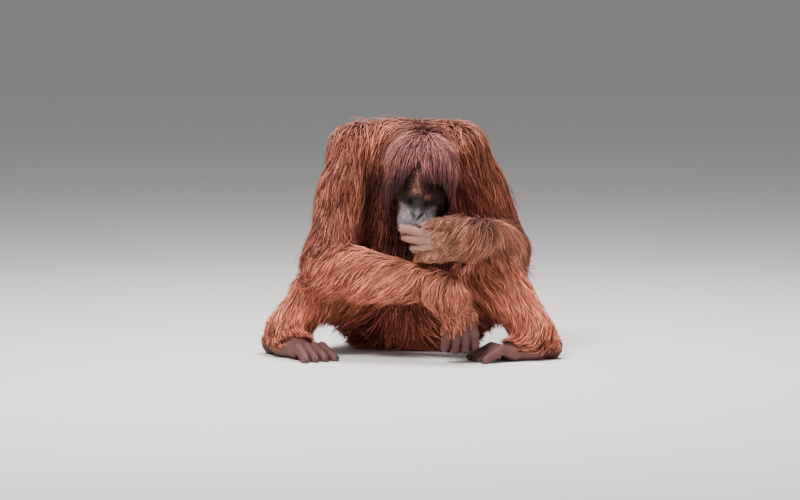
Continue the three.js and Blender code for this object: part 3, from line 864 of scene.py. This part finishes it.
# Eyes, ears and nails
def add_ball(name, centre, radii, turn, made, segments=32, rings=16):
    bpy.ops.mesh.primitive_uv_sphere_add(segments=segments, ring_count=rings, radius=1)
    piece = bpy.context.object
    piece.name = name
    grid = np.array([v.co for v in piece.data.vertices]) * radii
    moved = to_frame(grid @ np.asarray(turn).T + centre)
    piece.data.vertices.foreach_set("co", moved.astype(np.float32).ravel())
    piece.data.update()
    piece.data.polygons.foreach_set("use_smooth", np.ones(len(piece.data.polygons), dtype=bool))
    piece.data.materials.append(made)
    return piece


eyes = {}
for side in SIDES:
    centre = on_head(SIGN[side] * EYE["x"], EYE["f"], EYE["u"])
    eyes[side] = add_ball(f"eye_{side}", centre, (EYE["r"],) * 3, HEAD_TURN, eye_material)


def join(pieces, name):
    bpy.ops.object.select_all(action="DESELECT")
    for piece in pieces:
        piece.select_set(True)
    bpy.context.view_layer.objects.active = pieces[0]
    bpy.ops.object.join()
    pieces[0].name = name
    return pieces[0]


def nail_turn(joints, outward):
    """Axes of a nail: x across the digit, y along it, z out of its back."""
    along = unit(joints[-1] - joints[-2])
    out = unit(outward - along * (outward @ along))
    return np.stack([np.cross(along, out), along, out], axis=1)


nails = []
for side in SIDES:
    backs = (("hand", hand_digits(side), V(0.1, -1, 0)), ("foot", foot_digits(side), UP))
    for kind, digits, outward in backs:
        for joints, radii in digits:
            turn = nail_turn(joints, outward)
            radius = radii[-1]
            centre = joints[-1] + turn[:, 2] * radius * 0.72 + turn[:, 1] * radius * 0.42
            sizes = (radius * 0.62, radius * 0.95, radius * 0.42)
            nails.append(add_ball("nail", centre, sizes, turn, nail_material, 16, 10))
nails = join(nails, "nails")

EAR_AT = (76, 0, -4)
EAR_RADII = (12.5, 17)
EAR_RINGS, EAR_TURNS = 14, 36
EAR_THICK = 0.0022


def ear_point(out, s, a):
    """A point of the bowl, from its middle at s = 0 to its rolled rim at s = 1, at the angle a."""
    spread = np.sin(min(s * 1.35, 1) * np.pi / 2)
    lift = 2 + 7 * s**2 - 5 * smoothstep(s, 0.82, 1.0)
    fold = 1.6 * np.exp(-(((s - 0.62) / 0.12) ** 2)) * (1 + np.cos(a - 0.9))
    return on_head(
        out * (EAR_AT[0] - 6 + lift - fold),
        EAR_AT[1] + EAR_RADII[0] * spread * np.cos(a) * (1 - 0.12 * np.sin(a)),
        EAR_AT[2] + EAR_RADII[1] * spread * np.sin(a),
    )


def make_ear(side):
    """A cupped ear: a bowl with a rolled rim, flat against the head."""
    angles = [2 * np.pi * k / EAR_TURNS for k in range(EAR_TURNS)]
    depths = [i / (EAR_RINGS - 1) for i in range(EAR_RINGS)]
    points = np.array([ear_point(SIGN[side], s, a) for s in depths for a in angles])
    quads = []
    for i in range(EAR_RINGS - 1):
        for k in range(EAR_TURNS):
            a, b = i * EAR_TURNS + k, i * EAR_TURNS + (k + 1) % EAR_TURNS
            quads.append((a, b, b + EAR_TURNS, a + EAR_TURNS))
    piece = new_mesh(f"ear_{side}", points, np.array(quads))
    paint(piece, np.tile(FACE_DARK * 1.3, (len(points), 1)))
    piece.data.materials.append(skin_material)
    thick = piece.modifiers.new("thick", "SOLIDIFY")
    thick.thickness = EAR_THICK
    thick.offset = 0
    bpy.context.view_layer.objects.active = piece
    bpy.ops.object.modifier_apply(modifier="thick")
    return piece


ears = {side: make_ear(side) for side in SIDES}

# The coat. COAT has, for each part of the body, the hair's length, how far its tips stand off the skin, its
# tufts' width, how much it hangs, and how closely its tufts are set. LIMB_FLOW has the way that it lies on a
# limb: from one joint to another, and how far it droops from that
WHORL = V(32, -62, 565)
DOWN = V(0, 0, -1)
COAT = {
    "head": {"length": 96, "depth": 22, "width": 2.0, "hang": 0.55, "close": 2.3},
    "neck": {"length": 120, "depth": 26, "width": 2.6, "hang": 0.5, "close": 1.7},
    "torso": {"length": 130, "depth": 26, "width": 3.4, "hang": 0.6, "close": 0.8},
    "upper_arm": {"length": 130, "depth": 22, "width": 2.9, "hang": 0.5, "close": 1.25},
    "forearm": {"length": 105, "depth": 18, "width": 2.5, "hang": 0.45, "close": 1.5},
    "thigh": {"length": 95, "depth": 20, "width": 3.0, "hang": 0.6, "close": 0.8},
    "shin": {"length": 80, "depth": 17, "width": 2.5, "hang": 0.4, "close": 1.3},
    "hand": {"length": 40, "depth": 7, "width": 1.5, "hang": 0.1, "close": 2.6},
    "foot": {"length": 32, "depth": 6, "width": 1.6, "hang": 0.1, "close": 2.0},
}
LIMB_FLOW = {
    "upper_arm": (SHOULDER, ELBOW, 0.35),
    "forearm": (WRIST, ELBOW, 0.6),
    "hand": (WRIST, KNUCKLES, 0.5),
    "thigh": (HIP, KNEE, 0.5),
    "shin": (KNEE, ANKLE, 0.2),
}
TUFTS = 58000
PART_SOFT = 14  # how far one part's coat runs into the next


def flow(name, p):
    """The way that hair grows at points on a part, before it is laid on the skin."""
    kind, side = split_name(name)
    if kind == "head":
        return unit(p - WHORL) + DOWN * 0.45
    if kind == "neck":
        return unit(p - WHORL) + V(0, -0.35, -0.35)
    if kind == "torso":
        return np.stack([p[:, 0] * 0.005, (p[:, 1] - 40) * 0.008, -np.ones(len(p))], axis=-1)
    if kind == "foot":
        return np.broadcast_to(FOOT[side]["toes"] + DOWN * 0.2, p.shape)
    start, end, droop = LIMB_FLOW[kind]
    return np.broadcast_to(unit(end[side] - start[side]) + DOWN * droop, p.shape)


def part_shares(distances):
    """How much each point belongs to each part: 1 in all, and more the nearer the part is."""
    stack = np.stack(list(distances.values()))
    weight = np.exp(-(stack - stack.min(0)) / PART_SOFT)
    weight /= weight.sum(0)
    return dict(zip(distances, weight))


def coat_values(p, share):
    """For each point, the coat's flow and sizes, mixed over the parts near it."""
    way = sum(share[n][:, None] * unit(flow(n, p)) for n in share)
    sizes = {}
    for key in COAT["head"]:
        sizes[key] = sum(share[n] * COAT[split_name(n)[0]][key] for n in share)
    return unit(way), sizes


def hand_bare(p, n, distances, side):
    """1 on a hand's palm and fingers. On the left hand, fur reaches over the lower fingers."""
    hand = HAND[side]
    reach_of_hand = KNUCKLES[side] - WRIST[side]
    axis = unit(reach_of_hand)
    back = unit(np.cross(hand["across"], axis))
    back = back * np.sign(back @ V(0.1, -1, 0.3))
    along = (p - WRIST[side]) @ axis / np.linalg.norm(reach_of_hand)
    lower = smoothstep((KNUCKLES[side] - p) @ hand["across"], -4, 18)
    reach = 0.8 + 0.65 * lower if side == "left" else 1.0
    backs = smoothstep(n @ back, -0.25, 0.25) * (1 - smoothstep(along, reach, reach + 0.35))
    return smoothstep(along, 0, 0.12) * (distances[f"hand_{side}"] < 6) * (1 - backs)


def foot_bare(p, n, distances, side):
    """1 on a foot's sole and toes."""
    ahead = (p - ANKLE[side]) @ FOOT[side]["toes"]
    tops = smoothstep(n[:, 2], 0.0, 0.5) * (1 - smoothstep(ahead, 30, 75))
    return (p[:, 2] < 55) * (distances[f"foot_{side}"] < 5) * (1 - tops)


def haired(p, n, distances):
    """How thickly hair grows at points: 0 on the bare face, palms, fingers, soles and under the seat."""
    bare = 1 - 0.35 * smoothstep(into_head(p)[2], 16, 24)
    thick = 1 - bare * smoothstep(face_bare(p) * (distances["head"] < 14), 0.15, 0.6)
    for side in SIDES:
        thick = thick * (1 - hand_bare(p, n, distances, side))
        thick = thick * (1 - foot_bare(p, n, distances, side))
    return thick * (p[:, 2] > 7) * (n[:, 2] > -0.85)


def pick_roots(count):
    """Random places on the skin, by area and by how closely the coat is set."""
    corners = skin_points[skin_quads]
    diagonal = np.cross(corners[:, 2] - corners[:, 0], corners[:, 3] - corners[:, 1])
    area = np.linalg.norm(diagonal, axis=1) / 2
    normal = unit(diagonal)
    centres = corners.mean(axis=1)
    distances = all_distances(centres)
    _, sizes = coat_values(centres, part_shares(distances))
    on_surface = np.abs(body.sample(centres)) < COARSE
    weight = area * sizes["close"] * haired(centres, normal, distances) * on_surface
    chosen = rng.choice(len(weight), size=count, p=weight / weight.sum())
    a, b = rng.random((2, count, 1))
    quad = corners[chosen]
    points = mix(mix(quad[:, 0], quad[:, 1], a), mix(quad[:, 3], quad[:, 2], a), b)
    return points, normal[chosen]


STEPS = np.array([0.0, 0.22, 0.5, 0.78, 1.0])
PARTS_OF_STEP = 3  # how many short steps a tuft grows by from one ring to the next
FLYAWAY = 0.04  # the share of the tufts that stand off further than the rest
NAPE_LIFT = 2  # how much more the hair stands off on the nape and on the left arm's outside
ARM_LIFT = 9
ELBOW_CLOSE = 0.65  # how much closer the coat lies at the left elbow
BROW_FUR = (9, 17)
BROW_WIDTH = 1.2
ROOT_SINK = 2.5
LEAST_HEIGHT = 3.0  # how high a growing tuft keeps over the floor, and then once it is drawn to its lock
LEAST_DRAWN = 2.5


def tuft_sizes(roots):
    """Each tuft's length, height over the skin, hang, width and layer, and whether it is on the brow."""
    distances = all_distances(roots)
    share = part_shares(distances)
    _, sizes = coat_values(roots, share)
    x, _, u = into_head(roots)
    on_head_hair = distances["head"] < 12
    length = sizes["length"] * rng.uniform(0.6, 1.15, len(roots))
    hands = share["hand_right"] + share["hand_left"]
    feet = share["foot_right"] + share["foot_left"]
    length = np.where((hands + feet) > 0.6, length * 0.8, length)
    # Short fur on the brow, and long hair that hangs from the sides of the head
    brow = on_head_hair & (under_fringe(roots) > 0.4) & (u > 0) & (np.abs(x) < 56)
    sides = on_head_hair & (np.abs(x) > 44) & (u < 40)
    length = np.where(brow, rng.uniform(*BROW_FUR, len(roots)), length)
    length = np.where(sides, length * 1.75, length)
    hang = np.where(sides, 1.6, sizes["hang"])
    layer = rng.random(len(roots)) ** 0.7
    depth = sizes["depth"] * (0.25 + 0.75 * layer)
    depth = np.where(brow, depth * 0.22, depth)
    depth = depth * np.where(rng.random(len(roots)) < FLYAWAY, 1.5, 1.0)
    nape = smoothstep(roots[:, 2], 520, 545) * (1 - smoothstep(np.abs(roots[:, 0]), 70, 120))
    arm = smoothstep(roots[:, 2], 260, 320) * (1 - smoothstep(roots[:, 2], 440, 500))
    arm = smoothstep(roots[:, 0], 140, 190) * arm
    depth = depth + NAPE_LIFT * nape + ARM_LIFT * arm
    width = np.where(brow, BROW_WIDTH, sizes["width"])
    return length, depth, hang, width, layer, brow


def settle(p, depth, s):
    """Lifts points at the share s of their tufts to the height that they keep over the skin."""
    for _ in range(2):
        d, n = body.field(p)
        near_elbow = np.exp(-((np.linalg.norm(p - ELBOW["left"], axis=1) / 90) ** 2))
        want = depth * np.sqrt(s) * (1 - ELBOW_CLOSE * near_elbow)
        above = np.clip(n[:, 2] + 0.35, 0.0, 1.0)
        short = want - d
        push = np.where(short > 0, short, short * 0.35 * above)
        p = p + n * push[:, None]
    p[:, 2] = np.maximum(p[:, 2], LEAST_HEIGHT)
    return p, n


def grow(roots, normals, length, depth, hang):
    """The middle line of each tuft, as points at STEPS from its root to its tip, and the normals there."""
    side_noise = rng.normal(0, 0.13, (len(roots), 3))
    p, n = roots.copy(), normals.copy()
    lines = [roots - normals * ROOT_SINK]
    lifts = [normals.copy()]
    for start, end in zip(STEPS, STEPS[1:]):
        for k in range(PARTS_OF_STEP):
            s = mix(start, end, (k + 1) / PARTS_OF_STEP)
            way = ways.sample(p, ways.vectors) + side_noise * (1 + s)
            way = way - n * np.sum(way * n, axis=1, keepdims=True)
            way = unit(way) + DOWN * (hang * 1.5 * s)[:, None] + n * (0.35 * (1 - s) ** 2)
            p = p + unit(way) * (length * (end - start) / PARTS_OF_STEP)[:, None]
            p, n = settle(p, depth, s)
        lines.append(p.copy())
        lifts.append(n.copy())
    return np.stack(lines, axis=1), np.stack(lifts, axis=1)


WAY_STEP = 16.0


def way_grid():
    """The way of the coat on a coarse grid, which is quick enough for every step of every tuft."""
    grid = Grid(body_low, body_high, WAY_STEP, lambda p: np.zeros(p.shape[:-1]))
    counts = grid.values.shape
    places = np.stack(np.meshgrid(*[np.arange(n) for n in counts], indexing="ij"), axis=-1)
    points = grid.low + places.reshape(-1, 3) * grid.step
    way, _ = coat_values(points, part_shares(all_distances(points)))
    grid.vectors = way.reshape(*counts, 3).astype(np.float32)
    return grid


ways = way_grid()


def cut_at_face(lines, roots_on_head):
    """Shortens the tufts of the head, so that none hangs over the bare face but by a little."""
    fine = np.linspace(0, 1, 17)
    place = np.interp(fine, STEPS, np.arange(len(STEPS)))
    low = np.minimum(place.astype(int), len(STEPS) - 2)
    part = (place - low)[None, :, None]
    points = mix(lines[:, low], lines[:, low + 1], part)
    over = under_fringe(points.reshape(-1, 3)).reshape(points.shape[:2])
    limit = rng.uniform(0.05, 0.5, len(lines))
    hit = over > limit[:, None]
    first = np.where(hit.any(axis=1), hit.argmax(axis=1), len(fine) - 1)
    share = np.where(roots_on_head, np.maximum(fine[first], 0.08), 1.0)
    place = STEPS[None] * share[:, None] * (len(fine) - 1)
    low = np.minimum(place.astype(int), len(fine) - 2)
    rows = np.arange(len(lines))[:, None]
    return mix(points[rows, low], points[rows, low + 1], (place - low)[..., None])


LOCK_SIZE = 16  # how many tufts follow one leading tuft
LONGEST_DRAW = 60


def clump(lines, roots):
    """Draws each tuft's tip towards the tip of the nearest leading tuft, and says which one that is."""
    leaders = rng.choice(len(roots), size=len(roots) // LOCK_SIZE, replace=False)
    tree = kdtree.KDTree(len(leaders))
    for i, k in enumerate(leaders):
        tree.insert(Vector(roots[k]), i)
    tree.balance()
    nearest = np.array([leaders[tree.find(Vector(root))[1]] for root in roots])
    strength = rng.uniform(0.25, 0.75, len(roots))[:, None] * STEPS[None, :] ** 1.6
    offset = lines[nearest] - lines
    far = np.linalg.norm(offset[:, -1], axis=1) > LONGEST_DRAW
    strength[far] = 0
    return lines + offset * strength[..., None], nearest


# A tuft's width at each ring, as a share of its full width
SWELL = np.array([0.7, 1.0, 0.95, 0.62, 0.0])


def tuft_mesh(lines, lifts, widths):
    """Points and triangles of closed three-sided tufts along their middle lines."""
    count, rings = lines.shape[:2]
    along = np.empty_like(lines)
    along[:, 1:-1] = lines[:, 2:] - lines[:, :-2]
    along[:, 0] = lines[:, 1] - lines[:, 0]
    along[:, -1] = lines[:, -1] - lines[:, -2]
    along = unit(along)
    across = unit(np.cross(along, lifts))
    up = np.cross(across, along)
    points = np.empty((count, (rings - 1) * 3 + 1, 3))
    for i in range(rings - 1):
        w = (widths * SWELL[i])[:, None]
        points[:, i * 3] = lines[:, i] + across[:, i] * w * 0.5
        points[:, i * 3 + 1] = lines[:, i] + up[:, i] * w * 0.42
        points[:, i * 3 + 2] = lines[:, i] - across[:, i] * w * 0.5
    points[:, -1] = lines[:, -1]
    faces = [(0, 1, 2)]
    for i in range(rings - 2):
        for k in range(3):
            a, b = i * 3 + k, i * 3 + (k + 1) % 3
            faces += [(a, a + 3, b), (b, a + 3, b + 3)]
    tip = (rings - 1) * 3
    faces += [(tip - 3 + k, tip, tip - 3 + (k + 1) % 3) for k in range(3)]
    faces = np.array(faces)
    per = points.shape[1]
    all_faces = faces[None] + (np.arange(count) * per)[:, None, None]
    return points.reshape(-1, 3), all_faces.reshape(-1, 3)


# How much paler or darker than the rest one tuft is, at random, or one part's coat. The parts' values are
# partly the coat's own differences and partly painted light and shade: painted shade on the upper arms,
# painted light on the forearms, the left hand and the shins
TUFT_TONES = (0.62, 1.38)
PART_LIGHT_AND_SHADE = {
    "upper_arm_right": 0.6,
    "upper_arm_left": 0.48,
    "forearm_right": 1.4,
    "forearm_left": 1.12,
    "hand_left": 1.2,
    "shin_right": 1.35,
    "shin_left": 1.6,
}


def lit_brow(x, u):
    """Where the brow's short fur is pale: over the bare patch, and at the brows' inner ends."""
    patch = np.exp(-(((x + 10) / 13) ** 2)) * smoothstep(u, 14, 24)
    return np.maximum(patch, np.exp(-(((np.abs(x) - 20) / 11) ** 2) - (((u - 20) / 7) ** 2)))


def coat_shade(roots, lines, share, brow_light):
    """How dark each ring is: down the fringe, beside the face on the right, and under the chin."""
    fringe = 0.95 * share["head"][:, None] * (1 - smoothstep(into_head(lines)[2], 56, 98))
    fringe = fringe * (1 - np.clip(brow_light, 0, 0.92))[:, None]
    x, y, z = lines[..., 0], lines[..., 1], lines[..., 2]
    hidden = smoothstep(-y, 20, 60) * smoothstep(z, 170, 230)
    hidden = hidden * (1 - smoothstep(z, 430, 480))
    hidden = hidden * smoothstep(x, -135, -110) * (1 - smoothstep(x, -25, -5))
    hidden = hidden * (1 - share["forearm_right"] - share["hand_right"])[:, None]
    chest = smoothstep(-roots[:, 1], 0, 60) * smoothstep(roots[:, 2], 150, 260) * share["torso"]
    return np.maximum(np.maximum(fringe, 0.85 * hidden), 0.93 * chest[:, None])[..., None]


def tuft_colours(roots, lines, layer, brow, leaders):
    """A colour for each ring of each tuft: dark at the root, redder and lighter towards the tip."""
    count = len(roots)
    share = part_shares(all_distances(roots))
    x, _, u = into_head(roots)
    crown = share["head"] + 0.8 * share["neck"]
    tan = share["hand_left"] + share["forearm_left"] * 0.5
    patch = np.sin(roots[:, 0] * 0.021 + 1.3) * np.sin(roots[:, 2] * 0.017 + roots[:, 1] * 0.013)
    # Paler at random and in broad patches, and painted light on the upper layers
    light = np.clip(0.32 + 0.26 * rng.normal(size=count) + 0.16 * patch + 0.3 * layer, 0, 1)
    base = blend_colours(np.tile(HAIR_MID, (count, 1)), HAIR_LIGHT, light)
    # The head and neck hair take the crown's colour, with its painted sheen
    base = blend_colours(base, HAIR_CROWN_WITH_SHEEN, 0.8 * np.clip(crown, 0, 1))
    base = blend_colours(base, HAIR_TAN, 0.75 * np.clip(tan, 0, 1))
    brow_light = brow * lit_brow(x, u)
    base = blend_colours(base, HAIR_TAN, 0.85 * brow_light)
    # Each tuft and each lock is paler or darker than the next, and painted shade darkens the lower layers,
    # which lie under the rest
    base = base * rng.uniform(*TUFT_TONES, (count, 1)) * rng.uniform(*TUFT_TONES, (count, 1))[leaders]
    base = base * (0.4 + 0.95 * layer)[:, None]
    # Painted shade on the upper arms and painted light on the forearms, left hand and shins, with some of
    # the coat's own differences
    for name, bright in PART_LIGHT_AND_SHADE.items():
        base = base * (1 + (bright - 1) * share[name])[:, None]
    dark = HAIR_DARK[None, None]
    rings = dark + (base[:, None] - dark) * np.clip(0.08 + 1.15 * STEPS[None, :, None], 0, 1)
    return rings + (HAIR_SHADE - rings) * coat_shade(roots, lines, share, brow_light)


print("growing the coat")
roots, normals = pick_roots(TUFTS)
length, depth, hang, width, layer, brow = tuft_sizes(roots)
lines, lifts = grow(roots, normals, length, depth, hang)
clumped, leaders = clump(lines, roots)
lines = np.where(brow[:, None, None], lines, clumped)
root_part, root_names, root_distances = nearest_part(roots)
lines = cut_at_face(lines, (root_distances["head"] < 30) & ~brow)
lines[:, :, 2] = np.maximum(lines[:, :, 2], LEAST_DRAWN)
tones = tuft_colours(roots, lines, layer, brow, leaders)
widths = width * rng.uniform(0.7, 1.3, TUFTS)
root_uv, _ = unwrap(roots, root_part, root_names)
PATCH = 0.003  # a tuft's patch on the bake map
STRAND_SIZE = V(1.0, 1.6)
PIECES = 8


def add_map(piece, name, point_uv, faces):
    layer_uv = piece.data.uv_layers.new(name=name)
    layer_uv.data.foreach_set("uv", point_uv.reshape(-1, 2)[faces.ravel()].astype(np.float32).ravel())


def coat_piece(name, rows):
    """One piece of the coat, with the bake map at its tufts' roots and a map along each tuft."""
    points, faces = tuft_mesh(lines[rows], lifts[rows], widths[rows])
    piece = new_mesh(name, points, faces)
    ring_of = np.append(np.repeat(np.arange(len(STEPS) - 1), 3), len(STEPS) - 1)
    paint(piece, tones[rows][:, ring_of].reshape(-1, 3))
    piece.data.materials.append(hair_material)
    around = np.append(np.tile([0, 0.5, 1], len(STEPS) - 1), 0.5)
    local = np.stack([around, STEPS[ring_of]], axis=-1)[None]
    add_map(piece, "OFBake", root_uv[rows][:, None] + (local - 0.5) * PATCH, faces)
    strand = local * STRAND_SIZE + rng.uniform(0, 60, (len(rows), 1, 2))
    add_map(piece, "strand", strand, faces)
    return piece


order = np.argsort(root_part, kind="stable")
coat = [coat_piece(f"coat_{i + 1}", rows) for i, rows in enumerate(np.array_split(order, PIECES))]

# Ride and replace the slots
FLESH = [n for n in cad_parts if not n.startswith(("eye", "ear"))]
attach(skin, "root")
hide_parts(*FLESH)
for side in SIDES:
    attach(eyes[side], "root")
    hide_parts(f"eye_{side}")
    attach(ears[side], "root")
    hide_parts(f"ear_{side}")
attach(nails, "root")
for piece in coat:
    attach(piece, "root")

# The floor, lights and camera
FLOOR_SIZE = 120  # so wide that no horizon shows in the frame
bpy.ops.mesh.primitive_plane_add(size=FLOOR_SIZE)
floor = bpy.context.object
floor.name = "floor"
floor_material = material("floor", 0.85, 0.15, tone=False, colour=(0.74, 0.73, 0.71))
floor.data.materials.append(floor_material)

LOOK_AT = Vector((-0.03, -0.105, 0.256))


def add_light(name, place, size, power, colour):
    data = bpy.data.lights.new(name, "AREA")
    data.size = size
    data.energy = power
    data.color = colour
    lamp = bpy.data.objects.new(name, data)
    lamp.location = place
    lamp.rotation_euler = (LOOK_AT - Vector(place)).to_track_quat("-Z", "Y").to_euler()
    bpy.context.scene.collection.objects.link(lamp)


add_light("key", (-1.2, -1.9, 3.0), 1.0, 165, (1.0, 0.97, 0.95))
add_light("fill", (2.2, -2.6, 1.2), 2.0, 26, (0.95, 0.97, 1.0))
add_light("top", (0.3, 0.0, 3.0), 1.1, 150, (1.0, 0.98, 0.96))

world = bpy.data.worlds.new("studio")
world.use_nodes = True
world.node_tree.nodes["Background"].inputs["Color"].default_value = (0.86, 0.88, 0.9, 1)
world.node_tree.nodes["Background"].inputs["Strength"].default_value = 0.34
bpy.context.scene.world = world

CAMERA_RISE = np.radians(5)
DISTANCE = 10.0
camera_data = bpy.data.cameras.new("camera")
camera_data.sensor_width = 36
camera_data.lens = 180
camera = bpy.data.objects.new("camera", camera_data)
camera.location = LOOK_AT + Vector((0, -np.cos(CAMERA_RISE), np.sin(CAMERA_RISE))) * DISTANCE
camera.rotation_euler = (LOOK_AT - camera.location).to_track_quat("-Z", "Y").to_euler()
bpy.context.scene.collection.objects.link(camera)
bpy.context.scene.camera = camera
